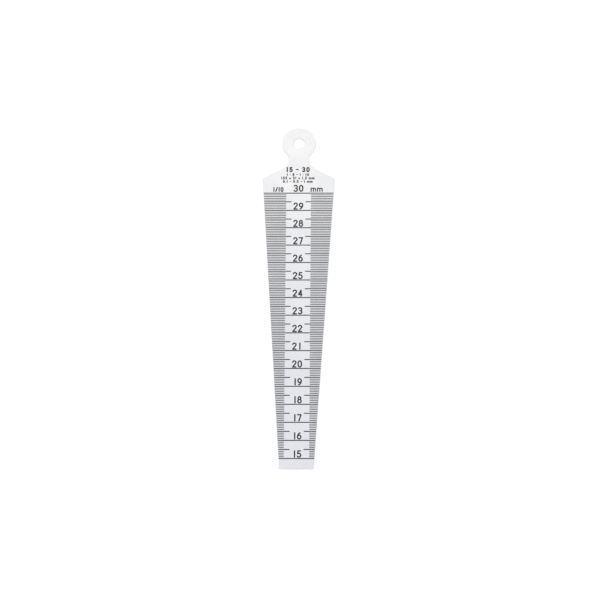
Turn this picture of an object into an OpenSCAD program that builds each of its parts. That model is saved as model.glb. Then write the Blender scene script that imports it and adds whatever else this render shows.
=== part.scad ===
// Taper gauge: one flat steel wedge that reads the width of a hole or slot.
// Pushed into the opening it stops where its own width equals the opening,
// and the graduation at that place gives the size.
// X runs across the blade, Y along it from the tip to the hanging ring, and
// Z up through the sheet. It lies on its back, with the scale on top, and the
// origin is under the middle of its length and width.

/* [Scale] */
// Smallest width that the scale reads
scale_min = 15; // [12:1:20]
// Largest width that the scale reads
scale_max = 30; // [24:1:40]
// Length of blade over which its width grows by one millimetre
taper_run = 8; // [5:0.5:12]
// Graduations for each millimetre of width
lines_per_mm = 10; // [2:2:20]
// Width of an engraved tenth-millimetre line
line_w = 0.35; // [0.1:0.05:0.4]
// Width of the lines at whole and half millimetres
main_line_w = 0.45; // [0.1:0.05:0.6]
// Depth of an engraved line
line_depth = 0.05; // [0.02:0.01:0.2]
// Width of the plain window between the two rows of short lines
window_w = 10.5; // [7:0.5:12]
// Length of a half-millimetre line inside the window
half_reach = 2.3; // [0.5:0.1:3]

/* [Blade] */
// Thickness of the steel sheet
sheet_t = 1.2; // [0.8:0.1:3]
// Plain blade between the tip and the smallest graduation
tip_blank = 4.5; // [2:0.5:10]
// Plain blade between the largest graduation and the shoulder corners
head_blank = 6.8; // [3:0.1:15]
// Angle of the shoulders, from straight across the blade
shoulder_slope = 29; // [15:1:45]
// Radius of the corners at the tip and the shoulders
corner_r = 0.5; // [0.4:0.1:2]
// Bevel that takes the sharpness off every edge
edge_break = 0.15; // [0.05:0.05:0.3]

/* [Hanging ring] */
// Width of the neck that carries the ring
neck_w = 8.8; // [6:0.1:12]
// Straight length of the neck, between its hollows and the ring
neck_straight = 2.2; // [0.5:0.1:10]
// Radius of the hollow between shoulder and neck
hollow_r = 4.2; // [2:0.1:8]
// Outer diameter of the ring
ring_d = 14.4; // [13:0.1:24]
// Diameter of the hole in the ring
hole_d = 5; // [3:0.1:8]

/* [Hidden] */
$fn = 96;

// Overlap of pieces that are joined, and of cutters with the air around them
lap = 1;
// Depth by which a hollow's circle crosses its sides, so that they meet cleanly
blend = 0.005;
// Fineness of the small corner rounds
corner_fn = 32;

// Width that the blade gains along its length, on one side
side_lean = 1 / (2 * taper_run);
// Length of a sloped side for each millimetre along the axis
side_slant = sqrt(1 + side_lean * side_lean);
// Distance between neighbouring graduations
pitch = taper_run / lines_per_mm;
line_count = round((scale_max - scale_min) * lines_per_mm) + 1;

// Heights above the tip, from the scale up to the ring
scale_rise = tip_blank + (scale_max - scale_min) * taper_run;
shoulder_rise = scale_rise + head_blank;
shoulder_x = scale_max / 2 + head_blank * side_lean;
hollow_reach = hollow_r - blend;
hollow_x = neck_w / 2 + hollow_reach;
hollow_offset = hollow_reach + sin(shoulder_slope) * (shoulder_x - hollow_x);
hollow_rise = shoulder_rise + hollow_offset / cos(shoulder_slope);
neck_rise = hollow_rise + neck_straight;
ring_rise = neck_rise + sqrt(pow(ring_d / 2, 2) - pow(neck_w / 2, 2));
overall_l = ring_rise + ring_d / 2;

// The same places in the part's own frame
tip_y = -overall_l / 2;
scale_y = tip_y + tip_blank;
shoulder_y = tip_y + shoulder_rise;
hollow_y = tip_y + hollow_rise;
ring_y = tip_y + ring_rise;

// Half the blade's width at a height, less a distance measured square to its side
function side_x(y, inset = 0) = scale_min / 2 + (y - scale_y) * side_lean - inset * side_slant;

// Centres of the rounds at the blade's corners
tip_round_y = tip_y + corner_r;
shoulder_fall = corner_r * (1 - side_slant * sin(shoulder_slope))
    / (cos(shoulder_slope) + sin(shoulder_slope) * side_lean);
shoulder_round_y = shoulder_y - shoulder_fall;
shoulder_round_x = side_x(shoulder_round_y, corner_r);
apex_round_y = shoulder_round_y + shoulder_round_x * tan(shoulder_slope);

// Sheet section from an axis to a rim, with both rims bevelled
function rim_section(r) = [
    [0, 0],
    [r - edge_break, 0],
    [r, edge_break],
    [r, sheet_t - edge_break],
    [r - edge_break, sheet_t],
    [0, sheet_t]
];

// Section of a round cutter that leaves both edges of its cut bevelled
function flare_section(r) = [
    [0, -lap],
    [r + edge_break + lap, -lap],
    [r, edge_break],
    [r, sheet_t - edge_break],
    [r + edge_break + lap, sheet_t + lap],
    [0, sheet_t + lap]
];

module rimmed_disc(r) {
    rotate_extrude()
        polygon(rim_section(r));
}

module flared_cutter(r) {
    rotate_extrude()
        polygon(flare_section(r));
}

// Wedge-shaped blade with its shoulders, which run on to a point inside the neck
module blade() {
    hull() {
        for (side = [-1, 1]) {
            translate([side * side_x(tip_round_y, corner_r), tip_round_y])
                rimmed_disc(corner_r, $fn = corner_fn);
            translate([side * shoulder_round_x, shoulder_round_y])
                rimmed_disc(corner_r, $fn = corner_fn);
        }
        translate([0, apex_round_y])
            rimmed_disc(corner_r, $fn = corner_fn);
    }
}

// Straight bar from inside the blade to the middle of the ring
module neck() {
    right = rim_section(neck_w / 2);
    left = [for (i = [len(right) - 1 : -1 : 0]) [-right[i][0], right[i][1]]];
    translate([0, ring_y])
        rotate([90, 0, 0])
            linear_extrude(ring_y - shoulder_y)
                polygon(concat(right, left));
}

// Metal between shoulder and neck, on the right, before the hollow is cut from it
module hollow_web() {
    reach = hollow_reach + lap;
    turn = 90 - shoulder_slope;
    corner = reach / cos(turn / 2);
    translate([hollow_x, hollow_y])
        linear_extrude(sheet_t)
            polygon([
                [0, 0],
                [-reach, 0],
                corner * [-cos(turn / 2), -sin(turn / 2)],
                reach * [-cos(turn), -sin(turn)]
            ]);
}

module ring() {
    translate([0, ring_y])
        rimmed_disc(ring_d / 2);
}

// Whole outline of the sheet, all edges bevelled, without the hole and the scale
module blank() {
    difference() {
        union() {
            blade();
            neck();
            hollow_web();
            mirror([1, 0])
                hollow_web();
        }
        for (side = [-1, 1])
            translate([side * hollow_x, hollow_y])
                flared_cutter(hollow_r);
    }
    ring();
}

// Lines of the scale, seen from above: a whole millimetre runs from edge to edge,
// a half reaches into the window from both sides, and the rest stop at the window
module graduations() {
    for (i = [0 : line_count - 1]) {
        y = scale_y + i * pitch;
        outer = side_x(y) + lap;
        whole = i % lines_per_mm == 0;
        half = 2 * i % lines_per_mm == 0;
        inner = whole ? 0 : window_w / 2 - (half ? half_reach : 0);
        width = half ? main_line_w : line_w;
        if (whole)
            translate([0, y])
                square([2 * outer, width], center = true);
        else
            for (side = [-1, 1])
                translate([side * (inner + outer) / 2, y])
                    square([outer - inner, width], center = true);
    }
}

module gauge_plate() {
    color("gainsboro")
        difference() {
            blank();
            translate([0, ring_y])
                flared_cutter(hole_d / 2);
            translate([0, 0, sheet_t - line_depth])
                linear_extrude(line_depth + lap)
                    graduations();
        }
}

gauge_plate();
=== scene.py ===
"""Dresses a steel taper gauge: satin sheet, black-filled scale, its numbers, and a plain white stage."""

import math

import bpy
from mathutils import Matrix, Vector


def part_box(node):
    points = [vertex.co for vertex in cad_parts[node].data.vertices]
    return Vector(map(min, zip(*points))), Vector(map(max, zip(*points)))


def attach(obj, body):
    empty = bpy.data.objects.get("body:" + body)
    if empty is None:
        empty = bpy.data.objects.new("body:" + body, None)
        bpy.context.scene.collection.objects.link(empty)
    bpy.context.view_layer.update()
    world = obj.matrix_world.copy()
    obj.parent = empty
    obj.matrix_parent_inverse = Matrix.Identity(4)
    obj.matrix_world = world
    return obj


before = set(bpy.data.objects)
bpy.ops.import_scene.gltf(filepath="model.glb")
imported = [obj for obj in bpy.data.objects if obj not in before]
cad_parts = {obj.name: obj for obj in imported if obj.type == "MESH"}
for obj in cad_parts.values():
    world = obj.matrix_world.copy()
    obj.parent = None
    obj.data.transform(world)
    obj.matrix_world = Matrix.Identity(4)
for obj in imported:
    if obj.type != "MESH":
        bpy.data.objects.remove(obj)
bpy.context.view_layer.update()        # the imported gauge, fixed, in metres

bl_info = {
    "name": "Taper Gauge Finish",
    "version": (1, 0, 0),
    "blender": (4, 5, 0),
    "location": "View3D > Sidebar > Gauge",
    "description": "Finishes a steel taper gauge and sets it on a white stage",
    "category": "Object",
}

MM = 0.001
BODY = "root"
PLATE = "gauge_plate"

# Names under which the pieces find the material and the node tree that they share
ENAMEL = "black etching enamel"
STROKES = "engraved strokes"

# X runs across the blade, Y from its tip to the hanging ring, Z up through the sheet
PLATE_LOW, PLATE_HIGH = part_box(PLATE)
TIP_Y = PLATE_LOW.y
FACE_Z = PLATE_HIGH.z

# Colour sockets of a Mix node, which has one set of sockets for each kind of value
MIX_A, MIX_B, MIX_OUT = 6, 7, 2


def linear(hex_code):
    """An sRGB colour such as #C0C0C0, as the linear red, green and blue that shaders take."""
    shares = [int(hex_code[i:i + 2], 16) / 255 for i in (1, 3, 5)]
    return [s / 12.92 if s <= 0.04045 else ((s + 0.055) / 1.055) ** 2.4 for s in shares]


def opaque(colour):
    """A colour with its alpha."""
    return (*colour, 1.0)


def add(tree, kind, sockets=None, **settings):
    """Adds a node, sets its properties, and links or fills its input sockets.
    A list links several outputs to one socket."""
    node = tree.nodes.new(kind)
    for name, value in settings.items():
        setattr(node, name, value)
    for key, source in (sockets or {}).items():
        for one in source if isinstance(source, list) else [source]:
            if isinstance(one, bpy.types.NodeSocket):
                tree.links.new(one, node.inputs[key])
            else:
                node.inputs[key].default_value = one
    return node


def length_property(name, description, millimetres):
    """A size in the panel, given in millimetres and kept in metres."""
    return bpy.props.FloatProperty(
        name=name, description=description, default=millimetres * MM, unit="LENGTH", precision=5)


def colour_property(name, description, hex_code):
    """A colour in the panel."""
    return bpy.props.FloatVectorProperty(
        name=name, description=description, default=linear(hex_code), subtype="COLOR", min=0, max=1)


class GaugeScaleSettings(bpy.types.PropertyGroup):
    """Sizes of the engraved scale, the same as the solid's."""

    lowest: bpy.props.IntProperty(
        name="Lowest reading", description="Blade width at the first line, in millimetres", default=15)
    highest: bpy.props.IntProperty(
        name="Highest reading", description="Blade width at the last line, in millimetres", default=30)
    lines_per_mm: bpy.props.IntProperty(
        name="Lines per millimetre", description="Graduations for a millimetre of width", default=10)
    taper_run: length_property("Taper run", "Blade length in which it gains a millimetre of width", 8)
    tip_blank: length_property("Tip blank", "Plain blade between the tip and the first line", 4.5)
    line_width: length_property("Line width", "Width of a tenth-millimetre line", 0.35)
    main_line_width: length_property("Main line width", "Width of a whole or half-millimetre line", 0.45)
    line_depth: length_property("Line depth", "Depth of an engraved line", 0.05)
    window_width: length_property("Window width", "Plain strip between the rows of short lines", 10.5)
    half_reach: length_property("Half reach", "Length of a half-millimetre line in the window", 2.3)
    edge_break: length_property("Edge break", "Bevel along the blade's edges", 0.15)
    recess: length_property("Fill recess", "Depth of the enamel's surface below the face", 0.008)
    bite: length_property("Fill bite", "Depth to which the enamel keys into the groove", 0.005)

    def line_y(self, reading):
        """Place of the line for a reading, along the blade."""
        return TIP_Y + self.tip_blank + (reading - self.lowest) * self.taper_run


class GaugeLetteringSettings(bpy.types.PropertyGroup):
    """Sizes of the numbers and marks."""

    number_height: length_property("Number height", "Height of a scale number, over its strokes", 3.3)
    number_stroke: length_property("Number stroke", "Stroke width of a scale number", 0.58)
    number_pitch: length_property("Number pitch", "Distance between a number's two figures", 2.3)
    number_shift: length_property("Number shift", "Middle of the numbers, right of the blade's axis", -0.09)
    number_rise: length_property("Number rise", "Gap from a line's middle to the number above it", 0.36)
    one_shift: length_property("One shift", "Leading 1, right of the middle of its place", 0.45)
    unit_height: length_property("Unit height", "Height of a figure on the unit's line", 2.9)
    step_height: length_property("Step height", "Height of the step's mark on the unit's line", 2.2)
    unit_stroke: length_property("Unit stroke", "Stroke width of the marks beside the last number", 0.48)
    unit_x: length_property("Unit place", "Middle of the unit, right of the blade's axis", 7.65)
    step_x: length_property("Step place", "Middle of the step's mark, right of the blade's axis", -8.7)
    unit_rise: length_property("Unit rise", "Gap from the last line's middle to the marks above it", 0.6)
    head_x: length_property("Head mark place", "Middle of the marks on the head, right of the axis", -0.4)
    range_height: length_property("Range height", "Height of the range on the head", 2.4)
    range_stroke: length_property("Range stroke", "Stroke width of the range on the head", 0.55)
    range_rise: length_property("Range rise", "Foot of the range, above the last line", 9.8)
    head_height: length_property("Head mark height", "Height of the smaller marks on the head", 1.35)
    head_stroke: length_property("Head mark stroke", "Stroke width of the smaller marks on the head", 0.32)
    head_rise: length_property("Head mark rise", "Foot of the lowest row of marks, above the last line", 4.8)
    head_pitch: length_property("Head mark pitch", "Distance between the rows of smaller marks", 1.6)
    unit_gap: bpy.props.FloatProperty(
        name="Unit gap", description="Gap between figures beside the last number, as a share of their height",
        default=0.34)
    head_gap: bpy.props.FloatProperty(
        name="Head mark gap", description="Gap between figures on the head, as a share of their height",
        default=0.5)
    film: length_property("Film", "Height of the enamel above the face", 0.01)
    sink: length_property("Sink", "Depth of the enamel below the face", 0.03)


class GaugeFinishSettings(bpy.types.PropertyGroup):
    """Colours and grain of the surfaces."""

    steel: colour_property("Steel", "Satin face of the sheet", "#EBEDF1")
    steel_dull: colour_property("Dull steel", "Face between the grain's bright threads", "#E5E7EC")
    # Near white: the ground edges' finish with a painted reflection of the white paper in it
    ground_edge: colour_property("Ground edge", "Bevels, sides and the wall of the hole", "#FAFAFB")
    ground_dull: colour_property("Dull edge", "Marks that the belt left along the edges", "#E4E6E9")
    enamel: colour_property("Enamel", "Black in the lines and numbers", "#17181A")
    enamel_worn: colour_property("Worn enamel", "Thin places in the black", "#2A2B2E")
    grain_width: length_property("Grain width", "Spacing of the grain across the blade", 0.3)
    grain_length: length_property("Grain length", "Length of a grain mark along the blade", 5)
    belt_width: length_property("Belt mark width", "Spacing of the belt's marks on the edges", 0.2)
    hair_width: length_property("Hairline width", "Spacing of the finest scratches from use", 0.18)
    hair_length: length_property("Hairline length", "Length of a scratch from use", 16)
    cloud: length_property("Cloud", "Size of the soft patches in the sheen", 14)
    enamel_grit: length_property("Enamel grit", "Size of the thin places in the black", 0.4)


class GaugeStageSettings(bpy.types.PropertyGroup):
    """Floor, light and camera."""

    floor: colour_property("Floor", "Paper that the gauge lies on", "#F0F0F0")
    floor_size: length_property("Floor size", "Side of the floor", 12000)
    floor_drop: length_property("Floor drop", "Gap between the floor and the gauge's back", 0.02)
    paper_grain: length_property("Paper grain", "Size of the paper's faint texture", 2)
    floor_glow: bpy.props.FloatProperty(
        name="Floor glow", description="Light that the paper adds to what the camera and polish see",
        default=0.3)
    sky_top: colour_property("Overhead light", "Studio ceiling", "#FBFBFC")
    sky_rim: colour_property("Low light", "Studio walls near the floor", "#CCCCCE")
    softbox_power: bpy.props.FloatProperty(
        name="Softbox power", description="Power of the lamp above the ring", default=0.0215, unit="POWER")
    softbox_colour: colour_property("Softbox colour", "Warm light of the lamp", "#FFF0CE")
    softbox_size: length_property("Softbox size", "Side of the square lamp", 90)
    softbox_y: length_property("Softbox along", "Place of the lamp along the blade", 200)
    softbox_z: length_property("Softbox height", "Height of the lamp", 220)
    elevation: bpy.props.FloatProperty(
        name="Elevation", description="Camera's height above the horizon", default=math.radians(67.765),
        subtype="ANGLE")
    azimuth: bpy.props.FloatProperty(
        name="Azimuth", description="Camera's turn about the gauge, from straight below the tip",
        default=math.radians(3.051), subtype="ANGLE")
    roll: bpy.props.FloatProperty(
        name="Roll", description="Turn of the camera about its view", default=math.radians(-2.823),
        subtype="ANGLE")
    distance: length_property("Distance", "Camera to the point that it looks at", 1620.2)
    aim_x: length_property("Aim across", "Point of the face in the picture's middle, across", 0.527)
    aim_y: length_property("Aim along", "Point of the face in the picture's middle, along", -1.651)
    lens: bpy.props.FloatProperty(
        name="Lens", description="Focal length for a sensor 36 mm wide", default=231.72, unit="CAMERA")


# Materials

# Slants of the scratches from use, in degrees off the grain, and how far they lift the sheen
HAIRLINE_SLANTS = (27, -38)
HAIRLINE_LIFT = 0.3
# How upright a normal is on the flat of the sheet, at least, and on a ground edge, at most
FLAT_UPRIGHT, EDGE_UPRIGHT = 0.95, 0.8
# Roughness of the face between its bright threads and on them, and of the edges
DULL_ROUGHNESS, BRIGHT_ROUGHNESS, EDGE_ROUGHNESS = 0.46, 0.38, 0.5


def new_material(name):
    """A material, its node tree and its main shader."""
    material = bpy.data.materials.new(name)
    material.use_nodes = True
    return material, material.node_tree, material.node_tree.nodes["Principled BSDF"]


def satin_face(tree, coords, finish):
    """Colour, roughness and relief of the sheet's brushed face."""
    # The real grain is under a tenth of a millimetre wide and is drawn coarser, so that it shows
    threads_at = add(tree, "ShaderNodeMapping", {
        "Vector": coords,
        "Scale": (1 / finish.grain_width, 1 / finish.grain_length, 1 / finish.grain_width),
    })
    threads = add(tree, "ShaderNodeTexNoise", {
        "Vector": threads_at.outputs["Vector"], "Scale": 1.0, "Detail": 3.0, "Roughness": 0.6})
    clouds = add(tree, "ShaderNodeTexNoise", {
        "Vector": coords, "Scale": 1 / finish.cloud, "Detail": 2.0, "Roughness": 0.5})
    sheet_tone = add(tree, "ShaderNodeMath", {
        0: threads.outputs["Fac"], 1: clouds.outputs["Fac"]}, operation="ADD")

    # A few hairlines from use lie across the grain, at a slant to either side. Only the peaks of a
    # stretched noise become one
    hairs = []
    for slant in HAIRLINE_SLANTS:
        hair_at = add(tree, "ShaderNodeMapping", {
            "Vector": coords,
            "Rotation": (0, 0, math.radians(slant)),
            "Scale": (finish.hair_width, finish.hair_length, finish.hair_width),
        }, vector_type="TEXTURE")
        streak = add(tree, "ShaderNodeTexNoise", {
            "Vector": hair_at.outputs["Vector"], "Scale": 1.0, "Detail": 0.0})
        hairs.append(add(tree, "ShaderNodeMapRange", {
            "Value": streak.outputs["Fac"], "From Min": 0.7, "From Max": 0.76}).outputs["Result"])
    hair = add(tree, "ShaderNodeMath", {0: hairs[0], 1: hairs[1]}, operation="MAXIMUM").outputs["Value"]

    # Threads and clouds add up to about 1, and the sheen spreads from dull to bright around that
    tone = add(tree, "ShaderNodeMath", {
        0: hair, 1: HAIRLINE_LIFT, 2: sheet_tone.outputs["Value"]}, operation="MULTIPLY_ADD")
    sheen = add(tree, "ShaderNodeMapRange", {
        "Value": tone.outputs["Value"], "From Min": 0.7, "From Max": 1.3}).outputs["Result"]
    colour = add(tree, "ShaderNodeMix", {
        "Factor": sheen, MIX_A: opaque(finish.steel_dull), MIX_B: opaque(finish.steel),
    }, data_type="RGBA")
    roughness = add(tree, "ShaderNodeMapRange", {
        "Value": sheen, "To Min": DULL_ROUGHNESS, "To Max": BRIGHT_ROUGHNESS})
    relief = add(tree, "ShaderNodeMath", {
        0: threads.outputs["Fac"], 1: hair}, operation="SUBTRACT")
    return colour.outputs[MIX_OUT], roughness.outputs["Result"], relief.outputs["Value"]


def ground_edges(tree, coords, finish):
    """Where the ground edges are, which is all that doesn't lie flat on the sheet, and their colour, painted
    near white as a painted reflection of the white paper.
    """
    normal = add(tree, "ShaderNodeNewGeometry").outputs["True Normal"]
    sheet_normal = add(tree, "ShaderNodeVectorTransform", {
        "Vector": normal}, vector_type="NORMAL", convert_from="WORLD", convert_to="OBJECT")
    upright = add(tree, "ShaderNodeSeparateXYZ", {"Vector": sheet_normal.outputs["Vector"]})
    flatness = add(tree, "ShaderNodeMath", {0: upright.outputs["Z"]}, operation="ABSOLUTE")
    edge = add(tree, "ShaderNodeMapRange", {
        "Value": flatness.outputs["Value"], "From Min": FLAT_UPRIGHT, "From Max": EDGE_UPRIGHT})

    # The belt's marks run along the edge, so they are long on the level and short upwards
    belt_at = add(tree, "ShaderNodeMapping", {
        "Vector": coords,
        "Scale": (1 / finish.grain_length, 1 / finish.grain_length, 1 / finish.belt_width),
    })
    belt = add(tree, "ShaderNodeTexNoise", {
        "Vector": belt_at.outputs["Vector"], "Scale": 1.0, "Detail": 2.0})
    belt_mark = add(tree, "ShaderNodeMapRange", {
        "Value": belt.outputs["Fac"], "From Min": 0.35, "From Max": 0.65})
    # Painted reflection: the edges are coloured near white for the paper that they reflect, with the belt's
    # real marks over it
    colour = add(tree, "ShaderNodeMix", {
        "Factor": belt_mark.outputs["Result"],
        MIX_A: opaque(finish.ground_dull),
        MIX_B: opaque(finish.ground_edge),
    }, data_type="RGBA")
    return edge.outputs["Result"], colour.outputs[MIX_OUT]


def satin_steel(finish):
    """Stainless sheet, brushed along its length and dulled to a satin.
    The face gives back soft light evenly, with faint long threads in it and a few hairlines from
    use. The ground edges are painted near white, a painted reflection of the paper's white, and show the
    belt's marks as fine level streaks."""
    material, tree, shader = new_material("satin stainless steel")
    coords = add(tree, "ShaderNodeTexCoord").outputs["Object"]
    face_colour, face_roughness, relief = satin_face(tree, coords, finish)
    edge, edge_colour_with_painted_reflection = ground_edges(tree, coords, finish)
    # The edges get their colour, which holds the painted reflection of the paper
    colour = add(tree, "ShaderNodeMix", {
        "Factor": edge, MIX_A: face_colour, MIX_B: edge_colour_with_painted_reflection}, data_type="RGBA")
    roughness = add(tree, "ShaderNodeMapRange", {
        "Value": edge, "To Min": face_roughness, "To Max": EDGE_ROUGHNESS})
    bump = add(tree, "ShaderNodeBump", {"Height": relief, "Strength": 0.12, "Distance": 0.02 * MM})

    tree.links.new(colour.outputs[MIX_OUT], shader.inputs["Base Color"])
    tree.links.new(roughness.outputs["Result"], shader.inputs["Roughness"])
    tree.links.new(bump.outputs["Normal"], shader.inputs["Normal"])
    shader.inputs["Metallic"].default_value = 1.0
    return material


def black_enamel(finish):
    """Black etching enamel, wiped into the cuts and left a little uneven.
    It gives a dense dull black with thinner, greyer places."""
    material, tree, shader = new_material(ENAMEL)
    coords = add(tree, "ShaderNodeTexCoord").outputs["Object"]
    grit = add(tree, "ShaderNodeTexNoise", {
        "Vector": coords, "Scale": 1 / finish.enamel_grit, "Detail": 2.0})
    worn = add(tree, "ShaderNodeMapRange", {
        "Value": grit.outputs["Fac"], "From Min": 0.45, "From Max": 0.7})
    colour = add(tree, "ShaderNodeMix", {
        "Factor": worn.outputs["Result"],
        MIX_A: opaque(finish.enamel),
        MIX_B: opaque(finish.enamel_worn),
    }, data_type="RGBA")
    roughness = add(tree, "ShaderNodeMapRange", {
        "Value": grit.outputs["Fac"], "From Min": 0.3, "From Max": 0.7, "To Min": 0.45, "To Max": 0.65})
    bump = add(tree, "ShaderNodeBump", {
        "Height": grit.outputs["Fac"], "Strength": 0.1, "Distance": 0.01 * MM})
    tree.links.new(colour.outputs[MIX_OUT], shader.inputs["Base Color"])
    tree.links.new(roughness.outputs["Result"], shader.inputs["Roughness"])
    tree.links.new(bump.outputs["Normal"], shader.inputs["Normal"])
    return material


def white_paper(stage):
    """Matte studio paper. What the camera and polish see of it is white, and it keeps the shadow."""
    material, tree, shader = new_material("white studio paper")
    coords = add(tree, "ShaderNodeTexCoord").outputs["Object"]
    fibre = add(tree, "ShaderNodeTexNoise", {
        "Vector": coords, "Scale": 1 / stage.paper_grain, "Detail": 2.0})
    roughness = add(tree, "ShaderNodeMapRange", {
        "Value": fibre.outputs["Fac"], "To Min": 0.85, "To Max": 0.95})
    tree.links.new(roughness.outputs["Result"], shader.inputs["Roughness"])
    shader.inputs["Base Color"].default_value = opaque(stage.floor)
    shader.inputs["Specular IOR Level"].default_value = 0.1

    path = add(tree, "ShaderNodeLightPath").outputs
    polish = add(tree, "ShaderNodeMath", {
        0: path["Is Glossy Ray"], 1: path["Is Transmission Ray"]}, operation="MAXIMUM")
    seen = add(tree, "ShaderNodeMath", {
        0: path["Is Camera Ray"], 1: polish.outputs["Value"]}, operation="MAXIMUM")
    glow = add(tree, "ShaderNodeMath", {
        0: seen.outputs["Value"], 1: stage.floor_glow}, operation="MULTIPLY")
    shader.inputs["Emission Color"].default_value = (1.0, 1.0, 1.0, 1.0)
    tree.links.new(glow.outputs["Value"], shader.inputs["Emission Strength"])
    material.cycles.emission_sampling = "NONE"
    return material


# Geometry Nodes

# Socket type of a size
LENGTH = "NodeSocketFloat"
# Sides of the round end of a stroke
ROUND_SIDES = 16


def new_tree(name, inputs):
    """A node tree for a modifier, and its input and output nodes. Each input is a name and a socket type."""
    tree = bpy.data.node_groups.new(name, "GeometryNodeTree")
    tree.interface.new_socket("Geometry", in_out="INPUT", socket_type="NodeSocketGeometry")
    for label, kind in inputs:
        tree.interface.new_socket(label, in_out="INPUT", socket_type=kind)
    tree.interface.new_socket("Geometry", in_out="OUTPUT", socket_type="NodeSocketGeometry")
    return tree, add(tree, "NodeGroupInput").outputs, add(tree, "NodeGroupOutput")


def grow(piece, tree, values):
    """Runs a tree on a piece with these input values and keeps the result as a plain mesh."""
    modifier = piece.modifiers.new(tree.name, "NODES")
    modifier.node_group = tree
    for item in tree.interface.items_tree:
        if item.in_out == "INPUT" and item.name in values:
            modifier[item.identifier] = values[item.name]
    evaluated = piece.evaluated_get(bpy.context.evaluated_depsgraph_get())
    mesh = bpy.data.meshes.new_from_object(evaluated)
    mesh.name = piece.name
    # A primitive brings an empty slot with it, which nothing uses
    if mesh.materials and mesh.materials[0] is None:
        mesh.materials.pop(index=0)
    piece.modifiers.remove(modifier)
    seed = piece.data
    piece.data = mesh
    bpy.data.meshes.remove(seed)


def new_piece(name, points=(), edges=()):
    """An object at the origin, from points and the edges between them."""
    mesh = bpy.data.meshes.new(name)
    mesh.from_pydata(points, edges, [])
    piece = bpy.data.objects.new(name, mesh)
    bpy.context.scene.collection.objects.link(piece)
    return piece


def settle(piece):
    """Fixes a finished piece to the gauge, once it has faces."""
    if not piece.data.polygons:
        raise RuntimeError(f"{piece.name} came out with no faces")
    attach(piece, BODY)


def line_fill_tree():
    """Enamel strips along the blade: whole lines from edge to edge, the others beside the window."""
    tree, given, result = new_tree("enamel lines", [
        ("Line count", "NodeSocketInt"),
        ("Lines per mm", "NodeSocketInt"),
        ("Lines per half mm", "NodeSocketInt"),
        ("First line", "NodeSocketVector"),
        ("Pitch", "NodeSocketVector"),
        ("First half width", LENGTH),
        ("Half width gain", LENGTH),
        ("Window half", LENGTH),
        ("Half line start", LENGTH),
        ("Strip width", LENGTH),
        ("Main strip width", LENGTH),
        ("Strip depth", LENGTH),
        ("Material", "NodeSocketMaterial"),
    ])

    points = add(tree, "GeometryNodeMeshLine", {
        "Count": given["Line count"], "Start Location": given["First line"], "Offset": given["Pitch"],
    }).outputs["Mesh"]
    strip = add(tree, "GeometryNodeMeshCube").outputs["Mesh"]

    # The first line is a whole millimetre. Counted from there, a line that leaves no remainder is a
    # whole or a half, and the sign of the remainder is 1 on all the others
    index = add(tree, "GeometryNodeInputIndex").outputs["Index"]
    past_whole = add(tree, "ShaderNodeMath", {
        0: index, 1: given["Lines per mm"]}, operation="MODULO").outputs["Value"]
    past_half = add(tree, "ShaderNodeMath", {
        0: index, 1: given["Lines per half mm"]}, operation="MODULO").outputs["Value"]
    short = add(tree, "ShaderNodeMath", {0: past_whole}, operation="SIGN").outputs["Value"]
    tenth = add(tree, "ShaderNodeMath", {0: past_half}, operation="SIGN").outputs["Value"]
    whole = add(tree, "FunctionNodeBooleanMath", {0: short}, operation="NOT").outputs["Boolean"]

    # Ends of a line to the right of the axis, and its width along the blade
    outer = add(tree, "ShaderNodeMath", {
        0: index, 1: given["Half width gain"], 2: given["First half width"],
    }, operation="MULTIPLY_ADD").outputs["Value"]
    inner = add(tree, "GeometryNodeSwitch", {
        "Switch": tenth, "False": given["Half line start"], "True": given["Window half"],
    }, input_type="FLOAT").outputs["Output"]
    width = add(tree, "GeometryNodeSwitch", {
        "Switch": tenth, "False": given["Main strip width"], "True": given["Strip width"],
    }, input_type="FLOAT").outputs["Output"]
    reach = add(tree, "ShaderNodeMath", {0: outer, 1: inner}, operation="SUBTRACT").outputs["Value"]
    right = add(tree, "ShaderNodeMath", {
        0: reach, 1: 0.5, 2: inner}, operation="MULTIPLY_ADD").outputs["Value"]
    left = add(tree, "ShaderNodeMath", {0: right, 1: -1.0}, operation="MULTIPLY").outputs["Value"]
    across = add(tree, "ShaderNodeMath", {0: outer, 1: 2.0}, operation="MULTIPLY").outputs["Value"]

    rows = []
    for chosen, middle, strip_length in ((whole, 0.0, across), (short, right, reach), (short, left, reach)):
        offset = add(tree, "ShaderNodeCombineXYZ", {"X": middle})
        moved = add(tree, "GeometryNodeSetPosition", {
            "Geometry": points, "Offset": offset.outputs["Vector"]})
        size = add(tree, "ShaderNodeCombineXYZ", {
            "X": strip_length, "Y": width, "Z": given["Strip depth"]})
        rows.append(add(tree, "GeometryNodeInstanceOnPoints", {
            "Points": moved.outputs["Geometry"], "Selection": chosen, "Instance": strip,
            "Scale": size.outputs["Vector"],
        }).outputs["Instances"])
    joined = add(tree, "GeometryNodeJoinGeometry", {"Geometry": rows})
    solid = add(tree, "GeometryNodeRealizeInstances", {"Geometry": joined.outputs["Geometry"]})
    dressed = add(tree, "GeometryNodeSetMaterial", {
        "Geometry": solid.outputs["Geometry"], "Material": given["Material"]})
    tree.links.new(dressed.outputs["Geometry"], result.inputs["Geometry"])
    return tree


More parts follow.
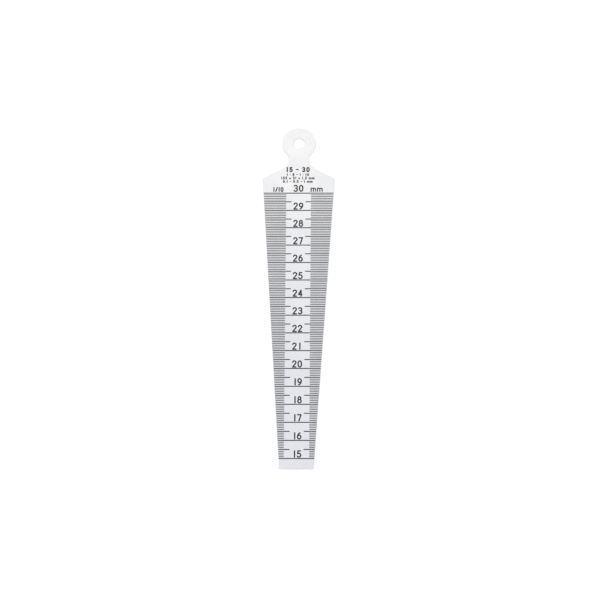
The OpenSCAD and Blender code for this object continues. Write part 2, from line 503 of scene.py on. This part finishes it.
def stroke_tree():
    """Turns the lines that an engraving tool follows into flat strokes with round ends."""
    tree, given, result = new_tree(STROKES, [
        ("Stroke width", LENGTH),
        ("Stroke depth", LENGTH),
        ("Material", "NodeSocketMaterial"),
    ])
    path = add(tree, "GeometryNodeMeshToCurve", {"Mesh": given["Geometry"]})
    level = add(tree, "GeometryNodeSetCurveNormal", {"Curve": path.outputs["Curve"]}, mode="Z_UP")
    section = add(tree, "GeometryNodeCurvePrimitiveQuadrilateral", {
        "Width": given["Stroke width"], "Height": given["Stroke depth"]})
    ribbon = add(tree, "GeometryNodeCurveToMesh", {
        "Curve": level.outputs["Curve"], "Profile Curve": section.outputs["Curve"], "Fill Caps": True})
    radius = add(tree, "ShaderNodeMath", {0: given["Stroke width"], 1: 0.5}, operation="MULTIPLY")
    dot = add(tree, "GeometryNodeMeshCylinder", {
        "Vertices": ROUND_SIDES, "Radius": radius.outputs["Value"], "Depth": given["Stroke depth"]})
    ends = add(tree, "GeometryNodeCurveEndpointSelection")
    caps = add(tree, "GeometryNodeInstanceOnPoints", {
        "Points": level.outputs["Curve"], "Selection": ends.outputs["Selection"],
        "Instance": dot.outputs["Mesh"]})
    caps_solid = add(tree, "GeometryNodeRealizeInstances", {"Geometry": caps.outputs["Instances"]})
    joined = add(tree, "GeometryNodeMeshBoolean", {
        "Mesh 2": [ribbon.outputs["Mesh"], caps_solid.outputs["Geometry"]],
        "Self Intersection": True,
    }, operation="UNION", solver="EXACT")
    solid = add(tree, "GeometryNodeRealizeInstances", {"Geometry": joined.outputs["Mesh"]})
    dressed = add(tree, "GeometryNodeSetMaterial", {
        "Geometry": solid.outputs["Geometry"], "Material": given["Material"]})
    tree.links.new(dressed.outputs["Geometry"], result.inputs["Geometry"])
    return tree


# Engraver's figures: each stroke is a run of points, on a figure one high

FIGURE_W = 0.5
# Degrees between the points of a round stroke
ARC_STEP = 15
# A stroke whose ends lie closer than this share of its width is a closed loop
CLOSED_SHARE = 0.01


def arc(x, y, across, up, start, end):
    """Points along an oval, from its centre and its radii across and up, between two angles in degrees."""
    count = max(2, round(abs(end - start) / ARC_STEP))
    angles = [math.radians(start + (end - start) * i / count) for i in range(count + 1)]
    return [(x + across * math.cos(a), y + up * math.sin(a)) for a in angles]


def turned(strokes):
    """The same strokes upside down, as 9 is to 6."""
    return [[(FIGURE_W - x, 1 - y) for x, y in stroke] for stroke in strokes]


SIX = [
    arc(0.25, 0.31, 0.25, 0.31, 0, 360),
    arc(0.47, 0.31, 0.47, 0.69, 180, 100),
]

# Each figure has its width and its strokes
FIGURES = {
    "0": (FIGURE_W, [
        arc(0.25, 0.6, 0.25, 0.4, 0, 180) + arc(0.25, 0.4, 0.25, 0.4, 180, 360) + [(0.5, 0.6)],
    ]),
    "1": (0.25, [[(0.125, 0), (0.125, 1)]]),
    "2": (FIGURE_W, [arc(0.25, 0.75, 0.25, 0.25, 170, -38) + [(0, 0)], [(0, 0), (0.5, 0)]]),
    "3": (FIGURE_W, [arc(0.24, 0.76, 0.235, 0.24, 150, -90), arc(0.24, 0.265, 0.26, 0.265, 90, -150)]),
    "4": (FIGURE_W, [[(0.36, 1), (0, 0.27)], [(0, 0.27), (0.5, 0.27)], [(0.36, 1), (0.36, 0)]]),
    "5": (FIGURE_W, [
        [(0.45, 1), (0.09, 1)],
        [(0.09, 1), (0.05, 0.55)],
        arc(0.23, 0.31, 0.27, 0.31, 130, -150),
    ]),
    "6": (FIGURE_W, SIX),
    "7": (FIGURE_W, [[(0, 1), (0.5, 1)], [(0.5, 1), (0.2, 0)]]),
    "8": (FIGURE_W, [arc(0.25, 0.77, 0.2, 0.23, 0, 360), arc(0.25, 0.275, 0.25, 0.275, 0, 360)]),
    "9": (FIGURE_W, turned(SIX)),
    "m": (0.8, [
        [(0, 0), (0, 0.62)],
        arc(0.2, 0.42, 0.2, 0.2, 180, 0) + [(0.4, 0)],
        arc(0.6, 0.42, 0.2, 0.2, 180, 0) + [(0.8, 0)],
    ]),
    "x": (0.46, [[(0, 0.08), (0.46, 0.54)], [(0, 0.54), (0.46, 0.08)]]),
    "/": (0.36, [[(0, -0.05), (0.36, 1.05)]]),
    "-": (0.32, [[(0, 0.5), (0.32, 0.5)]]),
    ".": (0.02, [[(0, 0), (0.02, 0)]]),
    ":": (0.02, [[(0, 0.2), (0.02, 0.2)], [(0, 0.75), (0.02, 0.75)]]),
    " ": (0.05, []),
}


def figure_strokes(text, size, gap, x, y):
    """Strokes of a row of figures, centred on x with its foot at y.
    Size is the height along the strokes, and the gap between figures is a share of it."""
    width = sum(FIGURES[c][0] + gap for c in text) - gap
    pen = x - width * size / 2
    strokes = []
    for character in text:
        advance, shape = FIGURES[character]
        strokes += [[(pen + u * size, y + v * size) for u, v in stroke] for stroke in shape]
        pen += (advance + gap) * size
    return strokes


def engrave(name, rows, stroke_width, gap, lettering, enamel):
    """One piece from rows of figures. A row is its text, its full height, and the middle of its foot."""
    points, edges = [], []
    middle_z = FACE_Z + (lettering.film - lettering.sink) / 2
    for text, full_height, x, y in rows:
        size = full_height - stroke_width
        for stroke in figure_strokes(text, size, gap, x, y + stroke_width / 2):
            closed = math.dist(stroke[0], stroke[-1]) < stroke_width * CLOSED_SHARE
            run = stroke[:-1] if closed else stroke
            first = len(points)
            points += [(u, v, middle_z) for u, v in run]
            edges += [(first + i, first + i + 1) for i in range(len(run) - 1)]
            if closed:
                edges.append((first + len(run) - 1, first))
    piece = new_piece(name, points, edges)
    grow(piece, bpy.data.node_groups.get(STROKES) or stroke_tree(), {
        "Stroke width": stroke_width,
        "Stroke depth": lettering.film + lettering.sink,
        "Material": enamel,
    })
    settle(piece)


def enamel_material(context):
    """The enamel, made once for all that is filled with it."""
    return bpy.data.materials.get(ENAMEL) or black_enamel(context.scene.gauge_finish)


class GAUGE_OT_dress_plate(bpy.types.Operator):
    """Gives the steel sheet its satin face and ground edges"""

    bl_idname = "gauge.dress_plate"
    bl_label = "Dress the plate"

    def execute(self, context):
        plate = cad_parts[PLATE]
        plate.data.materials.clear()
        plate.data.materials.append(satin_steel(context.scene.gauge_finish))
        return {"FINISHED"}


class GAUGE_OT_fill_lines(bpy.types.Operator):
    """Fills the engraved lines with black enamel"""

    bl_idname = "gauge.fill_lines"
    bl_label = "Fill the lines"

    def execute(self, context):
        scale = context.scene.gauge_scale
        lean = MM / (2 * scale.taper_run)
        bevel = scale.edge_break * math.hypot(1, lean)
        pitch = scale.taper_run / scale.lines_per_mm
        low = FACE_Z - scale.line_depth - scale.bite
        high = FACE_Z - scale.recess
        window_half = scale.window_width / 2 - scale.bite
        piece = new_piece("line_fill")
        grow(piece, line_fill_tree(), {
            "Line count": (scale.highest - scale.lowest) * scale.lines_per_mm + 1,
            "Lines per mm": scale.lines_per_mm,
            "Lines per half mm": scale.lines_per_mm // 2,
            "First line": (0, scale.line_y(scale.lowest), (low + high) / 2),
            "Pitch": (0, pitch, 0),
            "First half width": scale.lowest * MM / 2 - bevel,
            "Half width gain": pitch * lean,
            "Window half": window_half,
            "Half line start": window_half - scale.half_reach,
            "Strip width": scale.line_width + 2 * scale.bite,
            "Main strip width": scale.main_line_width + 2 * scale.bite,
            "Strip depth": high - low,
            "Material": enamel_material(context),
        })
        settle(piece)
        return {"FINISHED"}


class GAUGE_OT_number_scale(bpy.types.Operator):
    """Engraves a number above each whole millimetre"""

    bl_idname = "gauge.number_scale"
    bl_label = "Number the scale"

    def execute(self, context):
        scale, lettering = context.scene.gauge_scale, context.scene.gauge_lettering
        # Each figure is a row of its own, so that it keeps its place whatever its width
        rows = []
        for reading in range(scale.lowest, scale.highest + 1):
            tens, ones = str(reading)
            # The last number stands on one line with the unit beside it
            rise = lettering.unit_rise if reading == scale.highest else lettering.number_rise
            y = scale.line_y(reading) + rise
            tens_x = lettering.number_shift - lettering.number_pitch / 2
            if tens == "1":
                tens_x += lettering.one_shift
            ones_x = lettering.number_shift + lettering.number_pitch / 2
            rows.append((tens, lettering.number_height, tens_x, y))
            rows.append((ones, lettering.number_height, ones_x, y))
        engrave("scale_numbers", rows, lettering.number_stroke, 0, lettering, enamel_material(context))
        return {"FINISHED"}


class GAUGE_OT_mark_head(bpy.types.Operator):
    """Engraves the unit and step beside the last number, and the gauge's sizes on the head"""

    bl_idname = "gauge.mark_head"
    bl_label = "Mark the head"

    def execute(self, context):
        scale, lettering = context.scene.gauge_scale, context.scene.gauge_lettering
        enamel = enamel_material(context)
        last = scale.line_y(scale.highest)
        unit_y = last + lettering.unit_rise
        units = [
            ("mm", lettering.unit_height, lettering.unit_x, unit_y),
            (f"1/{scale.lines_per_mm}", lettering.step_height, lettering.step_x, unit_y),
        ]
        engrave("unit_marks", units, lettering.unit_stroke, lettering.unit_gap, lettering, enamel)

        range_y = last + lettering.range_rise
        span = (f"{scale.lowest} - {scale.highest}", lettering.range_height, lettering.head_x, range_y)
        engrave("range_mark", [span], lettering.range_stroke, lettering.head_gap, lettering, enamel)

        # From the lowest up: what the three kinds of line stand for, the sheet's size, and the taper
        # of the whole blade and of one side
        width, length, thickness = (PLATE_HIGH - PLATE_LOW) / MM
        taper = scale.taper_run / MM
        marks = [
            f"{1 / scale.lines_per_mm:.1f} - 0.5 - 1 mm",
            f"{length:.0f} x {width:.0f} x {thickness:.1f} mm",
            f"1 : {taper:.0f} - 1 : {2 * taper:.0f}",
        ]
        foot = last + lettering.head_rise
        rows = [
            (text, lettering.head_height, lettering.head_x, foot + i * lettering.head_pitch)
            for i, text in enumerate(marks)
        ]
        engrave("head_marks", rows, lettering.head_stroke, lettering.head_gap, lettering, enamel)
        return {"FINISHED"}


# Stage

# Height of a direction, as the sine of its angle, from which the ceiling is evenly bright
CEILING_RISE = 0.8


def lay_floor(stage):
    """A wide sheet of white paper under the gauge."""
    half = stage.floor_size / 2
    mesh = bpy.data.meshes.new("floor")
    corners = [(-half, -half), (half, -half), (half, half), (-half, half)]
    mesh.from_pydata([(x, y, -stage.floor_drop) for x, y in corners], [], [(0, 1, 2, 3)])
    mesh.materials.append(white_paper(stage))
    floor = bpy.data.objects.new("floor", mesh)
    bpy.context.scene.collection.objects.link(floor)


def light_studio(stage):
    """A bright ceiling that darkens towards the walls, and one soft lamp beyond the ring."""
    world = bpy.data.worlds.new("studio")
    world.use_nodes = True
    tree = world.node_tree
    direction = add(tree, "ShaderNodeTexCoord").outputs["Generated"]
    height = add(tree, "ShaderNodeSeparateXYZ", {"Vector": direction}).outputs["Z"]
    rise = add(tree, "ShaderNodeMapRange", {
        "Value": height, "From Max": CEILING_RISE}, interpolation_type="SMOOTHSTEP")
    sky = add(tree, "ShaderNodeMix", {
        "Factor": rise.outputs["Result"], MIX_A: opaque(stage.sky_rim), MIX_B: opaque(stage.sky_top),
    }, data_type="RGBA")
    tree.links.new(sky.outputs[MIX_OUT], tree.nodes["Background"].inputs["Color"])
    bpy.context.scene.world = world

    lamp = bpy.data.lights.new("softbox", "AREA")
    lamp.energy = stage.softbox_power
    lamp.color = stage.softbox_colour
    lamp.size = stage.softbox_size
    softbox = bpy.data.objects.new("softbox", lamp)
    place = Vector((0, stage.softbox_y, stage.softbox_z))
    ring = Vector((0, PLATE_HIGH.y, FACE_Z))
    turn = (ring - place).to_track_quat("-Z", "Y").to_matrix().to_4x4()
    softbox.matrix_world = Matrix.Translation(place) @ turn
    bpy.context.scene.collection.objects.link(softbox)


def place_camera(stage):
    """A long lens that looks down on the face from the tip's side."""
    data = bpy.data.cameras.new("camera")
    data.lens = stage.lens
    camera = bpy.data.objects.new("camera", data)
    level = Vector((math.cos(stage.azimuth), math.sin(stage.azimuth), 0))
    outward = Vector((level.y, -level.x, 0))
    back = math.cos(stage.elevation) * outward + math.sin(stage.elevation) * Vector((0, 0, 1))
    upward = back.cross(level)
    right = math.cos(stage.roll) * level + math.sin(stage.roll) * upward
    up = math.cos(stage.roll) * upward - math.sin(stage.roll) * level
    aim = Vector((stage.aim_x, stage.aim_y, FACE_Z))
    turn = Matrix((right, up, back)).transposed().to_4x4()
    camera.matrix_world = Matrix.Translation(aim + stage.distance * back) @ turn
    bpy.context.scene.collection.objects.link(camera)
    bpy.context.scene.camera = camera


class GAUGE_OT_set_stage(bpy.types.Operator):
    """Lays the paper, lights the studio and places the camera"""

    bl_idname = "gauge.set_stage"
    bl_label = "Set the stage"

    def execute(self, context):
        stage = context.scene.gauge_stage
        lay_floor(stage)
        light_studio(stage)
        place_camera(stage)
        context.scene.view_settings.view_transform = "Standard"
        return {"FINISHED"}


class GAUGE_PT_finish(bpy.types.Panel):
    """Lists the steps that finish the gauge"""

    bl_idname = "GAUGE_PT_finish"
    bl_label = "Taper gauge"
    bl_space_type = "VIEW_3D"
    bl_region_type = "UI"
    bl_category = "Gauge"

    def draw(self, context):
        for step in STEPS:
            self.layout.operator(step.bl_idname)


STEPS = (
    GAUGE_OT_dress_plate,
    GAUGE_OT_fill_lines,
    GAUGE_OT_number_scale,
    GAUGE_OT_mark_head,
    GAUGE_OT_set_stage,
)
SETTINGS = {
    "gauge_scale": GaugeScaleSettings,
    "gauge_lettering": GaugeLetteringSettings,
    "gauge_finish": GaugeFinishSettings,
    "gauge_stage": GaugeStageSettings,
}


def register():
    for group in SETTINGS.values():
        bpy.utils.register_class(group)
    for attribute, group in SETTINGS.items():
        setattr(bpy.types.Scene, attribute, bpy.props.PointerProperty(type=group))
    for step in STEPS:
        bpy.utils.register_class(step)
    bpy.utils.register_class(GAUGE_PT_finish)


def unregister():
    bpy.utils.unregister_class(GAUGE_PT_finish)
    for step in reversed(STEPS):
        bpy.utils.unregister_class(step)
    for attribute in SETTINGS:
        delattr(bpy.types.Scene, attribute)
    for group in reversed(SETTINGS.values()):
        bpy.utils.unregister_class(group)


def main():
    """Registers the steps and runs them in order."""
    register()
    bpy.ops.gauge.dress_plate()
    bpy.ops.gauge.fill_lines()
    bpy.ops.gauge.number_scale()
    bpy.ops.gauge.mark_head()
    bpy.ops.gauge.set_stage()


if __name__ == "__main__":
    main()
